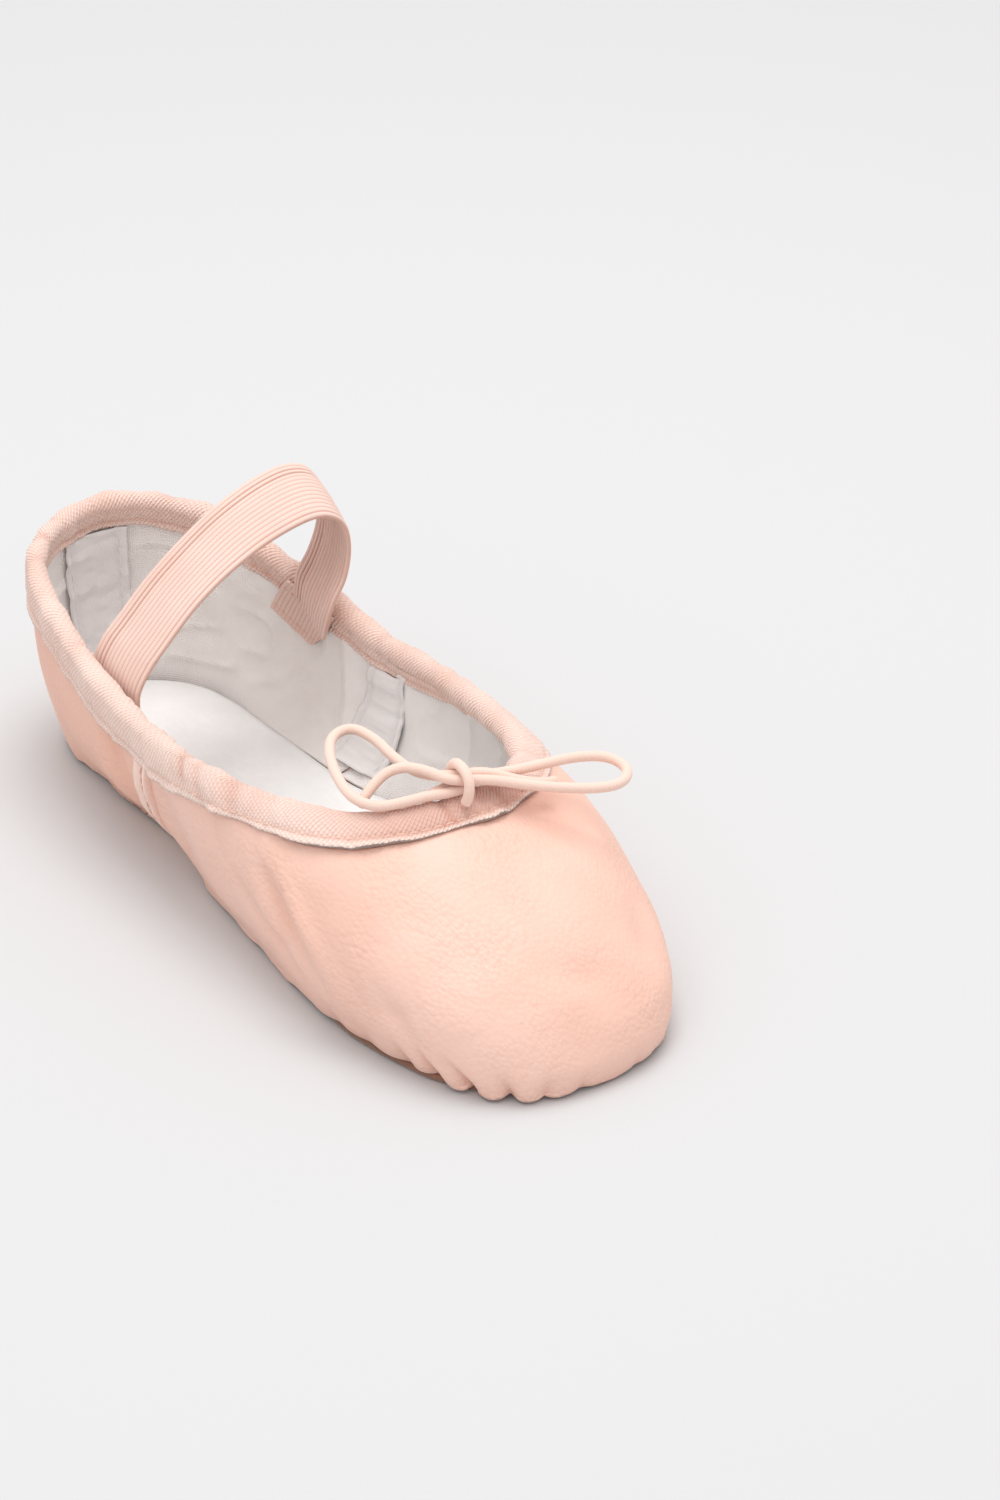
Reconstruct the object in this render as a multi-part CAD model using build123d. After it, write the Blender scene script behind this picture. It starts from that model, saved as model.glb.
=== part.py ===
"""Full-sole soft ballet slipper: a straight-lasted leather slipper that bends at the ball of the foot.

Millimetres. Toe towards -Y, heel towards +Y, +X to the wearer's left, +Z up, floor at Z = 0.

The outer face of the upper is one formula, skin(u, v, depth). u runs round the foot: 0 at the toe
centre, 5 at the side seam, 9 at the heel centre, positive on the left side and negative on the right.
v runs from 0 at the sole edge to 1 at the top of the topline. depth is measured inwards from the
leather's outer face. Every sewn layer is a panel between two depths, so the layers nest without touching.
"""
from build123d import *
from functools import lru_cache
import math
import os

# Upper: the sole edge, the topline and the two shaping points between them, at ten stations of one side
STATIONS = [
    # sole x, y | topline x, y, z | low bulge out, z | shoulder out, z
    (0, -90.5, 0, -42, 40.5, 8, 12, 21, 37.5),        # toe centre
    (17, -86, 13.5, -39, 40, 8, 12, 18, 37.5),
    (26.5, -69, 22, -29, 39, 8, 13, 13, 37),
    (30.5, -43, 26.5, -13, 37.5, 8, 14, 8, 36),       # ball, the widest place
    (27, -13, 29, 6, 36.5, 8, 14, 5, 35),
    (23, 20, 29.5, 26, 36.5, 7.5, 12, 3, 30),         # side seam
    (22, 50, 28, 50, 40, 6, 12, 2.5, 30),
    (19, 72, 22.5, 76, 45.5, 5, 14, 3, 33),
    (11, 84, 13.5, 88, 48, 5, 16, 3.5, 35),
    (0, 87.5, 0, 92.5, 49, 5, 16, 3.5, 35),           # heel centre
]
HEEL_U = len(STATIONS) - 1
SEAM_U = 5
MIRRORED = (-1, 1, -1, 1, 1, 1, 1, 1, 1)

# Layers
OUTSOLE_THICK = 1.6
LEATHER_THICK = 1.0
LINING_THICK = 0.5
BINDING_THICK = 0.9
TAPE_THICK = 0.4
ELASTIC_THICK = 1.0
INSOLE_THICK = 2.3
SOCK_THICK = 0.5
LAYER_GAP = 0.1                 # air left between two layers that are sewn face to face
SEAM_GAP_U = 0.004              # the same at a butt seam, in u
LEATHER_BASE = OUTSOLE_THICK + 0.05
LINING_DEPTH = LEATHER_THICK + LAYER_GAP
INSIDE_DEPTH = LINING_DEPTH + LINING_THICK + LAYER_GAP
LINING_FOOT_V = 0.035           # the lining stops where the insole hides it

# Turned-in margins and the sole layers inside them
MARGIN_WIDTH = 9
MARGIN_INSET = 0.25
OUTSOLE_INSET = 1.0
OUTSOLE_TOE_INSET = 3.5         # how much further back the outsole stops at the toe, under the pleats
INSOLE_INSET = 1.9
INSOLE_BASE = LEATHER_BASE + LEATHER_THICK + LAYER_GAP
SOCK_BASE = INSOLE_BASE + INSOLE_THICK + LAYER_GAP

# Topline binding, folded over the edge as a casing for the drawstring
EDGE_DROP = 3.8                 # leather and lining stop this far below the top of the casing
BINDING_DROP = 9                # how far the binding reaches down outside
BINDING_DROP_INSIDE = 8
BINDING_GAP = 0.3               # air between the binding and the leather or lining inside it
CASING_BORE = 2.5
BUTT_GAP = 0.1                  # air between the binding's two ends at the heel
CORD_HOLE_X = 5                 # the two holes that the drawstring's ends leave by, either side of the throat
CORD_HOLE_RADIUS = 1.3
CORD_DIAMETER = 2.1
CASING_CORD_DIAMETER = 1.8

# Elastic strap
STRAP_WIDTH = 19
STRAP_Y = 43
STRAP_PIVOT_Z = 40.3
STRAP_LEAN = 7                  # degrees towards the heel
STRAP_END_GAP = 0.4             # air between a sewn end and the binding's inside hem
STRAP_END_REACH = 15            # how far a sewn end reaches down inside the quarter
STRAP_PATH = [(-22.8, 40.5), (-22.8, 45.5), (-18.5, 49.5), (-8, 56.5), (4, 61.5), (14, 64.4), (22, 64.6),
              (27.5, 60.8), (28.6, 55.5), (24, 51), (22.8, 46.5), (22.8, 40.5)]
STRAP_RADII = [5, 22, 60, 60, 30, 9, 7, 5, 5, 8]

# Ball flex: the axis lies across the foot just above the sock liner
FLEX_Y = -40
FLEX_Z = 6
FLEX_REAR_TILT = 20             # degrees: the rear shell is cut along this plane through the axis
FLEX_FRONT_TILT = 60            # the front shell is cut along this one, and the crease fills the wedge
FLEX_GAP = 0.25                 # half of the clearance at each cut

# Stitches
STITCH_LENGTH = 2.2
STITCH_PITCH = 3.2
STITCH_WIDTH = 0.6
STITCH_THICK = 0.3
SOLE_CHANNEL_INSET = 2.8
SOLE_CHANNEL_WIDTH = 1.8
SOLE_CHANNEL_DEPTH = 0.55

# Bow: each end of the drawstring crosses the knot, makes one loop, crosses back and ends as a tail
BOW_CORD_LEFT_EXIT = [
    (-5.7, -42.4, 42.9), (-2.9, -42.6, 43.4), (1.3, -43, 43.5), (5.7, -43.6, 43.8), (10.8, -45.8, 44),
    (17.3, -47.2, 44), (24.5, -48.4, 43.8), (30.1, -51.4, 43.4), (30.9, -57, 43), (26.9, -60.6, 42.8),
    (21.9, -59.4, 42.8), (16.3, -55.6, 43), (10.7, -51.4, 43.6), (5.7, -48, 44.8), (1.5, -46.2, 45.5),
    (-2.9, -44.6, 46), (-5.3, -39.8, 47), (-8.5, -35.4, 46.8), (-13.1, -34.2, 44.8), (-17.9, -35.4, 41.2)]
BOW_CORD_RIGHT_EXIT = [
    (4.3, -42.6, 42.7), (1.5, -44.4, 43.3), (-2.7, -44.9, 43.4), (-7.2, -43.2, 43.5), (-12.6, -41.9, 43.1),
    (-17.3, -40.2, 43), (-19.5, -35.2, 43.4), (-17.7, -27.5, 44), (-14.5, -20.2, 44.4),
    (-10.5, -15.2, 44.6), (-5.3, -14.4, 44.6), (-3.9, -20.5, 44.4), (-5.1, -29, 44.3), (-5.3, -36.5, 44.8),
    (-3.3, -41.4, 45.6), (0.9, -43.7, 45.8), (5.3, -45.2, 45.5), (9.9, -48.4, 43.6), (14.5, -50.8, 42.2),
    (17.9, -50.2, 41.4)]
BOW_KNOT = [(-1.7, -48.2, 42.4), (-1.3, -49, 44.8), (-0.7, -47.6, 47.8), (-0.2, -43.6, 48.6), (0.1, -40.8, 46.8),
            (0.3, -40.2, 44.2)]


def spread(start, end, count):
    """Evenly spaced values, both ends included."""
    return [start + (end - start) * i / (count - 1) for i in range(count)]


def station(t):
    """The nine shape values at t from 0 (toe) to HEEL_U (heel), by a smooth curve through the stations."""
    i = min(int(t), HEEL_U - 1)
    f = t - i
    rows = []
    for k in (i - 1, i, i + 1, i + 2):
        inside = -k if k < 0 else 2 * HEEL_U - k if k > HEEL_U else k
        signs = MIRRORED if inside != k else (1,) * len(MIRRORED)
        rows.append([s * value for s, value in zip(signs, STATIONS[inside])])
    return [0.5 * (2 * b + (c - a) * f + (2 * a - 5 * b + 4 * c - d) * f ** 2 + (3 * b - a - 3 * c + d) * f ** 3)
            for a, b, c, d in zip(*rows)]


def sole_edge(u, inset=0.0):
    """A point of the sole edge and its outward direction, both in plan, moved in by inset."""
    u = (u + HEEL_U) % (2 * HEEL_U) - HEEL_U
    side = -1 if u < 0 else 1
    t = abs(u)
    near, far = station(max(t - 0.001, 0)), station(min(t + 0.001, HEEL_U))
    along = Vector(far[0] - near[0], far[1] - near[1]).normalized()
    out = Vector(along.Y, -along.X)
    point = Vector(station(t)[0], station(t)[1]) - out * inset
    return Vector(side * point.X, point.Y), Vector(side * out.X, out.Y)


def outer(u, v):
    """A point of the leather's outer face: a cubic from the sole edge, over two shaping points, to the top."""
    foot, out = sole_edge(u)
    u = (u + HEEL_U) % (2 * HEEL_U) - HEEL_U
    side = -1 if u < 0 else 1
    values = station(abs(u))
    top = Vector(side * values[2], values[3], values[4])
    low = foot + out * values[5] + Vector(0, 0, values[6])
    high = Vector(top.X, top.Y) + out * values[7] + Vector(0, 0, values[8])
    foot = foot + Vector(0, 0, LEATHER_BASE)
    w = 1 - v
    return foot * w ** 3 + low * (3 * v * w ** 2) + high * (3 * v ** 2 * w) + top * v ** 3


def outward(u, v):
    """The outward normal of the leather's outer face."""
    step = 0.01
    v = min(max(v, step), 1 - step)
    along = outer(u + step, v) - outer(u - step, v)
    up = outer(u, v + step) - outer(u, v - step)
    return along.cross(up).normalized()


def skin(u, v, depth=0.0):
    return outer(u, v) - outward(u, v) * depth


@lru_cache(maxsize=None)
def way_down(u):
    """Distances down the skin from the top at u, in steps of 0.01 of v."""
    points = [outer(u, 1 - 0.01 * k) for k in range(70)]
    distances = [0.0]
    for here, there in zip(points, points[1:]):
        distances.append(distances[-1] + (there - here).length)
    return distances


def below_top(u, drop):
    """The v that lies drop millimetres down the skin from the top."""
    distances = way_down(u)
    k = next(k for k in range(len(distances) - 1) if distances[k + 1] >= drop)
    return 1 - 0.01 * (k + (drop - distances[k]) / (distances[k + 1] - distances[k]))


def u_width(u, v, width):
    """How much u makes width millimetres along the foot at (u, v)."""
    return width * 0.02 / (outer(u + 0.01, v) - outer(u - 0.01, v)).length


def between(face_a, face_b):
    """The closed solid between two matching four-sided faces."""
    sides = []
    for edge in face_a.edges():
        match = min(face_b.edges(), key=lambda other: (other @ 0.5 - edge @ 0.5).length)
        sides.append(Face.make_surface_from_curves(edge, match))
    solid = Solid(Shell([face_a, face_b] + sides))
    return solid if solid.volume > 0 else Solid(Shell([face_b, face_a] + sides))


def panel(u_start, u_end, low, high, depth, thick, rows=11):
    """A sheet of one layer between two u's. low and high give v at each u."""
    columns = max(9, round((u_end - u_start) * 6))
    faces = []
    for d in (depth, depth + thick):
        grid = [[skin(u, v, d) for v in spread(low(u), high(u), rows)] for u in spread(u_start, u_end, columns)]
        faces.append(Face.make_surface_from_array_of_points(grid))
    return between(*faces)


def sole_slab(inset, base, thick, toe_inset=0.0):
    """A flat layer with the outline of the sole edge, moved in by inset, and by more at the toe."""
    points = []
    for u in spread(-HEEL_U, HEEL_U, 46)[:-1]:
        extra = toe_inset * max(0.0, 1 - abs(u) / 1.4) ** 0.5
        points.append(sole_edge(u, inset + extra)[0])
    outline = Face(Wire(Spline(*points, periodic=True)))
    return extrude(Pos(0, 0, base) * outline, thick)


def block(y_min, y_max, x_min=-60, x_max=60, z_min=-5, z_max=90):
    """A box of space, for keeping one part of a shape."""
    size = Box(x_max - x_min, y_max - y_min, z_max - z_min)
    return Pos((x_min + x_max) / 2, (y_min + y_max) / 2, (z_min + z_max) / 2) * size


def flex_line(tilt, shift, start=0.0, end=130.0):
    """A cut line in the YZ plane, from start to end above the flex axis, tilted towards the toe."""
    lean = math.radians(tilt)
    foot = Vector(FLEX_Y + shift * math.cos(lean), FLEX_Z + shift * math.sin(lean))
    along = Vector(-math.sin(lean), math.cos(lean))
    return tuple(foot + along * start)[:2], tuple(foot + along * end)[:2]


def flex_zone(kind):
    """The space that the toe part, the crease or the rear part of the shell may fill."""
    toe_foot, toe_top = flex_line(FLEX_FRONT_TILT, -FLEX_GAP)
    rear_foot, rear_top = flex_line(FLEX_REAR_TILT, FLEX_GAP)
    crease_low, crease_low_top = flex_line(FLEX_FRONT_TILT, LAYER_GAP, start=1.5)
    crease_high, crease_high_top = flex_line(FLEX_REAR_TILT, -FLEX_GAP, start=1.5)
    outlines = {
        "toe": [(FLEX_Y - FLEX_GAP, -5), toe_foot, toe_top, (-200, -5)],
        "crease": [crease_low, crease_low_top, crease_high_top, crease_high],
        "rear": [(FLEX_Y + FLEX_GAP, -5), rear_foot, rear_top, (160, 130), (160, -5)],
    }
    outline = make_face(Polyline(*outlines[kind], close=True))
    return extrude(Plane.YZ * outline, 60, both=True)


def one_solid(shape):
    """The largest solid of a cut, without stray slivers."""
    return max(shape.solids(), key=lambda solid: solid.volume)


def cord_tube(points, diameter, radii=None, name=None):
    """A round cord: straight runs joined by tangent arcs, each as large as its two runs allow."""
    points = [Vector(*p) for p in points]
    if radii is None:
        radii = []
        for before, corner, after in zip(points, points[1:], points[2:]):
            into, out_of = corner - before, after - corner
            half_turn = math.radians(into.get_angle(out_of)) / 2
            radii.append(0.45 * min(into.length, out_of.length) / math.tan(half_turn))
    path = FilletPolyline(*points, radius=radii)
    if name:
        print(f"{name}: length {path.length:.1f}, tightest radius {min(radii):.1f}")
    section = Plane(path @ 0, z_dir=path % 0) * Circle(diameter / 2)
    return sweep(section, path)


def stitches(points, normals, pitch=STITCH_PITCH):
    """Separate flat stitches along a line of points, each lying square to its normal."""
    made, travelled, next_start = [], 0.0, 0.0
    for here, there, normal in zip(points, points[1:], normals):
        step = (there - here).length
        travelled += step
        if travelled >= next_start and step < pitch:      # a longer step is a gap left in the line
            plane = Plane((here + there) / 2, x_dir=there - here, z_dir=normal)
            made.append(plane * Box(STITCH_LENGTH, STITCH_WIDTH, STITCH_THICK))
            next_start += pitch
    return made


# ---- sole ----

def outsole():
    """Suede outsole with the stitch channel cut in its underside."""
    slab = sole_slab(OUTSOLE_INSET, 0, OUTSOLE_THICK, OUTSOLE_TOE_INSET)
    outside = sole_slab(OUTSOLE_INSET + SOLE_CHANNEL_INSET, 0, SOLE_CHANNEL_DEPTH, OUTSOLE_TOE_INSET)
    inside = sole_slab(OUTSOLE_INSET + SOLE_CHANNEL_INSET + SOLE_CHANNEL_WIDTH, 0, SOLE_CHANNEL_DEPTH,
                       OUTSOLE_TOE_INSET)
    return slab - (outside - inside)


def sole_layers():
    """The flat layers, each cut straight across under the flex axis."""
    layers = {
        "outsole": outsole(),
        "sole_filler": sole_slab(MARGIN_WIDTH + 0.4, LEATHER_BASE, LEATHER_THICK),
        "insole": sole_slab(INSOLE_INSET, INSOLE_BASE, INSOLE_THICK),
        "sock_liner": sole_slab(INSOLE_INSET + 0.1, SOCK_BASE, SOCK_THICK),
    }
    parts = {}
    for name, layer in layers.items():
        parts[name + "_toe"] = one_solid(layer & block(-120, FLEX_Y - FLEX_GAP))
        parts[name + "_heel"] = one_solid(layer & block(FLEX_Y + FLEX_GAP, 120))
    return parts


def sole_stitching():
    """The outsole's stitches, in the channel, in front of and behind the flex line."""
    inset = OUTSOLE_INSET + SOLE_CHANNEL_INSET + SOLE_CHANNEL_WIDTH / 2
    lift = Vector(0, 0, SOLE_CHANNEL_DEPTH - LAYER_GAP - STITCH_THICK / 2)
    points = []
    for u in spread(-HEEL_U, HEEL_U, 600):
        extra = OUTSOLE_TOE_INSET * max(0.0, 1 - abs(u) / 1.4) ** 0.5
        points.append(sole_edge(u, inset + extra)[0] + lift)
    made = stitches(points, [Vector(0, 0, -1)] * len(points))
    clear = STITCH_LENGTH
    return {"sole_stitching_toe": [s for s in made if s.center().Y < FLEX_Y - clear],
            "sole_stitching_heel": [s for s in made if s.center().Y > FLEX_Y + clear]}


# ---- upper ----

def upper_edge(u):
    return below_top(u, EDGE_DROP)


def margin(keep):
    """The leather's turned-in margin, a flat ring on the outsole, where keep says."""
    ring = sole_slab(MARGIN_INSET, LEATHER_BASE, LEATHER_THICK)
    ring -= sole_slab(MARGIN_WIDTH, LEATHER_BASE - 1, LEATHER_THICK + 2)
    return ring & keep


def vamp():
    """Vamp leather with its margin, in toe, crease and rear parts."""
    seam = SEAM_U - SEAM_GAP_U
    wall = panel(-seam, seam, lambda u: 0, upper_edge, 0, LEATHER_THICK, 15)
    seam_y = STATIONS[SEAM_U][1]
    whole = wall + margin(block(-120, seam_y - 0.1))
    return {f"vamp_{kind}": one_solid(whole & flex_zone(kind)) for kind in ("toe", "crease", "rear")}


def quarter(side):
    """One heel quarter with its margin, from the side seam to the centre-back seam."""
    ends = sorted((side * (SEAM_U + SEAM_GAP_U), side * (HEEL_U - SEAM_GAP_U)))
    wall = panel(*ends, lambda u: 0, upper_edge, 0, LEATHER_THICK, 15)
    seam_y = STATIONS[SEAM_U][1]
    half = block(seam_y + 0.1, 120, *sorted((side * 0.06, side * 60)))
    return one_solid(wall + margin(half))


def vamp_lining():
    seam = SEAM_U - SEAM_GAP_U
    whole = panel(-seam, seam, lambda u: LINING_FOOT_V, upper_edge, LINING_DEPTH, LINING_THICK, 15)
    return {f"vamp_lining_{kind}": one_solid(whole & flex_zone(kind)) for kind in ("toe", "crease", "rear")}


def quarter_lining(side):
    ends = sorted((side * (SEAM_U + SEAM_GAP_U), side * (HEEL_U - SEAM_GAP_U)))
    return panel(*ends, lambda u: LINING_FOOT_V, upper_edge, LINING_DEPTH, LINING_THICK, 15)


def band(u, width, low, high, depth, thick):
    """A narrow strip of tape or leather laid up the skin at u, from v low to v high."""
    half = u_width(u, (low + high) / 2, width / 2)
    return panel(u - half, u + half, lambda _: low, lambda _: high, depth, thick)


# ---- topline ----

def casing_centre(u):
    """The middle of the casing at u, with the directions out and up across it."""
    middle = (LINING_DEPTH + LINING_THICK) / 2
    rise = (outer(u, 1) - outer(u, 0.97)).normalized()
    centre = skin(u, below_top(u, 2), middle) + rise * (2 - CASING_BORE / 2 - BINDING_THICK)
    return centre, outward(u, 1), rise


def binding_line(u, thick):
    """The binding's outline at u, from its outside hem over the casing to its inside hem."""
    middle = (LINING_DEPTH + LINING_THICK) / 2
    half = middle + BINDING_GAP + thick
    centre, out, rise = casing_centre(u)
    points = [skin(u, below_top(u, drop), middle - half) for drop in spread(BINDING_DROP, EDGE_DROP + 1, 3)]
    for angle in spread(-20, 200, 5):
        turn = math.radians(angle)
        points.append(centre + (out * math.cos(turn) + rise * math.sin(turn)) * (CASING_BORE / 2 + thick))
    points += [skin(u, below_top(u, drop), middle + half)
               for drop in spread(EDGE_DROP + 1, BINDING_DROP_INSIDE, 3)]
    return points


def topline_binding():
    """Twill binding: one strip folded over the edge, its ends meeting at the heel, with two cord holes."""
    sections = []
    for u in spread(-HEEL_U, HEEL_U, 37):
        over, under = (binding_line(u, thick) for thick in (BINDING_THICK, 0))
        if abs(u) == HEEL_U:
            butt = math.copysign(BUTT_GAP / 2, u)
            over, under = ([Vector(butt, point.Y, point.Z) for point in line] for line in (over, under))
        edges = [Spline(*over), Line(over[-1], under[-1]), Spline(*reversed(under)), Line(under[0], over[0])]
        sections.append(Wire(edges))
    strip = Solid.make_loft(sections)
    for side in (-1, 1):
        strip -= Pos(side * CORD_HOLE_X, STATIONS[0][3] + 0.6, STATIONS[0][4] - 1) * Cylinder(CORD_HOLE_RADIUS, 4)
    return one_solid(strip)


def casing_cord():
    """The drawstring inside the casing, from one cord hole round the heel to the other."""
    points = [casing_centre(u)[0] for u in spread(-HEEL_U * 2 + 0.45, -0.45, 80)]
    return cord_tube(points, CASING_CORD_DIAMETER, name="drawstring_in_casing")


def topline_stitching():
    """The binding's stitch line outside and inside, near its hems."""
    made = []
    face = BINDING_GAP + BINDING_THICK + LAYER_GAP + STITCH_THICK / 2
    rows = ((BINDING_DROP - 1.2, -face, 1), (BINDING_DROP_INSIDE - 1.2, LINING_DEPTH + LINING_THICK + face, -1))
    for drop, depth, facing in rows:
        us = spread(-HEEL_U + 0.1, HEEL_U - 0.1, 420)
        if facing < 0:
            us = [u for u in us if abs(abs(u) - strap_u(1)) > u_width(u, 0.9, STRAP_WIDTH / 2 + 4)]
        vs = [below_top(u, drop) for u in us]
        points = [skin(u, v, depth) for u, v in zip(us, vs)]
        normals = [outward(u, v) * facing for u, v in zip(us, vs)]
        made += stitches(points, normals)
    return made


# ---- strap and bow ----

@lru_cache(maxsize=None)
def strap_u(side):
    """The u where the middle of the strap meets the topline."""
    return side * min(spread(5, 7, 201), key=lambda u: abs(station(u)[3] - STRAP_Y))


def strap_end(side):
    """An end of the elastic, folded once and sewn inside the quarter, over the binding's inside hem."""
    u = strap_u(side)
    low = below_top(u, STRAP_END_REACH)
    depth = LINING_DEPTH + LINING_THICK + BINDING_GAP + BINDING_THICK + STRAP_END_GAP
    return band(u, STRAP_WIDTH, low, 0.995, depth, ELASTIC_THICK)


def elastic_strap():
    """The free arch of the elastic, leaning a little to the heel."""
    path = FilletPolyline(*[(x, STRAP_Y, z) for x, z in STRAP_PATH], radius=STRAP_RADII)
    section = Plane(path @ 0, x_dir=(0, 1, 0), z_dir=path % 0) * Rectangle(STRAP_WIDTH, ELASTIC_THICK)
    arch = sweep(section, path)
    pivot = Axis((0, STRAP_Y, STRAP_PIVOT_Z), (1, 0, 0))
    keep = block(-120, 120, z_min=STRAP_PIVOT_Z + 0.4)
    return one_solid(arch.rotate(pivot, -STRAP_LEAN) & keep)


def bow():
    return {
        "bow_cord_right_loop": cord_tube(BOW_CORD_LEFT_EXIT, CORD_DIAMETER, name="bow_cord_right_loop"),
        "bow_cord_left_loop": cord_tube(BOW_CORD_RIGHT_EXIT, CORD_DIAMETER, name="bow_cord_left_loop"),
        "bow_knot": cord_tube(BOW_KNOT, CORD_DIAMETER, name="bow_knot"),
    }


def assemble():
    parts = sole_layers()
    parts.update(sole_stitching())
    parts.update(vamp())
    parts.update(vamp_lining())
    for name, side in (("left", 1), ("right", -1)):
        seam = side * SEAM_U
        parts[f"quarter_{name}"] = quarter(side)
        parts[f"quarter_lining_{name}"] = quarter_lining(side)
        parts[f"side_seam_tab_{name}"] = band(seam, 8, 0.12, below_top(seam, BINDING_DROP + 1),
                                              -(LAYER_GAP + 0.8), 0.8)
        parts[f"side_seam_tape_{name}"] = band(seam, 13, 0.16, below_top(seam, BINDING_DROP_INSIDE + 1.2),
                                               INSIDE_DEPTH, TAPE_THICK)
        parts[f"strap_end_{name}"] = strap_end(side)
    parts["heel_seam_tape"] = band(HEEL_U, 16, 0.14, below_top(HEEL_U, BINDING_DROP_INSIDE + 1.2),
                                   INSIDE_DEPTH, TAPE_THICK)
    parts["topline_binding"] = topline_binding()
    parts["topline_stitching"] = topline_stitching()
    parts["drawstring_in_casing"] = casing_cord()
    parts["elastic_strap"] = elastic_strap()
    parts.update(bow())
    return parts


os.makedirs("parts", exist_ok=True)
for node, shape in assemble().items():
    if isinstance(shape, list):
        shape = Compound(children=shape)
    export_step(shape, f"parts/{node}.step")
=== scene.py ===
"""The ballet slipper's looks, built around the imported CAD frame.

The skin formula, the stations and the cord routes are the same as in the part's own model, in
millimetres; meshes are written in metres. u runs round the foot (0 toe, 5 side seam, 9 heel,
negative on the right), v runs up the upper (0 sole edge, 1 topline), depth goes inwards.
"""
import bpy
import math
import numpy as np
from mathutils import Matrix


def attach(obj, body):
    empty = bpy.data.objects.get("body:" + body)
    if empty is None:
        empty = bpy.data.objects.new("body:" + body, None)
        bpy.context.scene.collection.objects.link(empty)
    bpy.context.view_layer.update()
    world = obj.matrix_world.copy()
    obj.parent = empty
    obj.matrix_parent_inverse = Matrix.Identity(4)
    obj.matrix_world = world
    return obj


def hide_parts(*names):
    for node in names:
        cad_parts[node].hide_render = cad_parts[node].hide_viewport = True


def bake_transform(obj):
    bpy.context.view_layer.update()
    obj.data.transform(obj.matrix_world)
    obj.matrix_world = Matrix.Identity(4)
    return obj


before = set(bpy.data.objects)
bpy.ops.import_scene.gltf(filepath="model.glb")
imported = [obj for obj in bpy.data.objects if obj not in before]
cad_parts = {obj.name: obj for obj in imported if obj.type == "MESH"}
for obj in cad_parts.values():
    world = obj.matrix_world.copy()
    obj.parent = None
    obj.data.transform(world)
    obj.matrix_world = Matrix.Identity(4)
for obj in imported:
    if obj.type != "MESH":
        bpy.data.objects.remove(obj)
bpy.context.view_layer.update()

MM = 0.001
STATIONS = np.array([
    # sole x, y | topline x, y, z | low bulge out, z | shoulder out, z
    (0, -90.5, 0, -42, 40.5, 8, 12, 21, 37.5),
    (17, -86, 13.5, -39, 40, 8, 12, 18, 37.5),
    (26.5, -69, 22, -29, 39, 8, 13, 13, 37),
    (30.5, -43, 26.5, -13, 37.5, 8, 14, 8, 36),
    (27, -13, 29, 6, 36.5, 8, 14, 5, 35),
    (23, 20, 29.5, 26, 36.5, 7.5, 12, 3, 30),
    (22, 50, 28, 50, 40, 6, 12, 2.5, 30),
    (19, 72, 22.5, 76, 45.5, 5, 14, 3, 33),
    (11, 84, 13.5, 88, 48, 5, 16, 3.5, 35),
    (0, 87.5, 0, 92.5, 49, 5, 16, 3.5, 35),
], float)
MIRRORED = np.array((-1, 1, -1, 1, 1, 1, 1, 1, 1), float)
HEEL_U = len(STATIONS) - 1
SEAM_U = 5
LEATHER_BASE = 1.65
LEATHER = 1.0
LINING = 0.5
EDGE_DROP = 3.8
BINDING_DROP = 9
BINDING_DROP_INSIDE = 8
BINDING = 0.9
BINDING_GAP = 0.3
CASING_BORE = 2.5
CORD = 2.1
STRAP_WIDTH = 19
STRAP_RIBS = 14
EDGE_SWELL = 0.35                 # how far a sheet's edge stands out, in thicknesses
RIGHT_LOOP = [
    (-5.7, -42.4, 42.9), (-2.9, -42.6, 43.4), (1.3, -43, 43.5), (5.7, -43.6, 43.8), (10.8, -45.8, 44),
    (17.3, -47.2, 44), (24.5, -48.4, 43.8), (30.1, -51.4, 43.4), (30.9, -57, 43), (26.9, -60.6, 42.8),
    (21.9, -59.4, 42.8), (16.3, -55.6, 43), (10.7, -51.4, 43.6), (5.7, -48, 44.8), (1.5, -46.2, 45.5),
    (-2.9, -44.6, 46), (-5.3, -39.8, 47), (-8.5, -35.4, 46.8), (-13.1, -34.2, 44.8), (-17.9, -35.4, 41.2)]
LEFT_LOOP = [
    (4.3, -42.6, 42.7), (1.5, -44.4, 43.3), (-2.7, -44.9, 43.4), (-7.2, -43.2, 43.5), (-12.6, -41.9, 43.1),
    (-17.3, -40.2, 43), (-19.5, -35.2, 43.4), (-17.7, -27.5, 44), (-14.5, -20.2, 44.4),
    (-10.5, -15.2, 44.6), (-5.3, -14.4, 44.6), (-3.9, -20.5, 44.4), (-5.1, -29, 44.3), (-5.3, -36.5, 44.8),
    (-3.3, -41.4, 45.6), (0.9, -43.7, 45.8), (5.3, -45.2, 45.5), (9.9, -48.4, 43.6), (14.5, -50.8, 42.2),
    (17.9, -50.2, 41.4)]
KNOT = [(-1.7, -48.2, 42.4), (-1.3, -49, 44.8), (-0.7, -47.6, 47.8), (-0.2, -43.6, 48.6), (0.1, -40.8, 46.8),
        (0.3, -40.2, 44.2)]
STRAP_FRONT = [
    (-25.2, 33, 31.5), (-24.8, 33.2, 36), (-21.9, 33.6, 40.1), (-17.7, 34, 43.9), (-5.8, 35.1, 53),
    (4.3, 35.7, 57.7), (11.9, 35.9, 60), (19.4, 36, 61.2), (24.2, 35.9, 60.4), (27.7, 35.6, 57.3),
    (28.4, 35, 52), (26.6, 34.3, 46), (23.6, 33.9, 41.5), (22.3, 34.6, 36.5), (22.9, 37, 31.5)]
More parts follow.
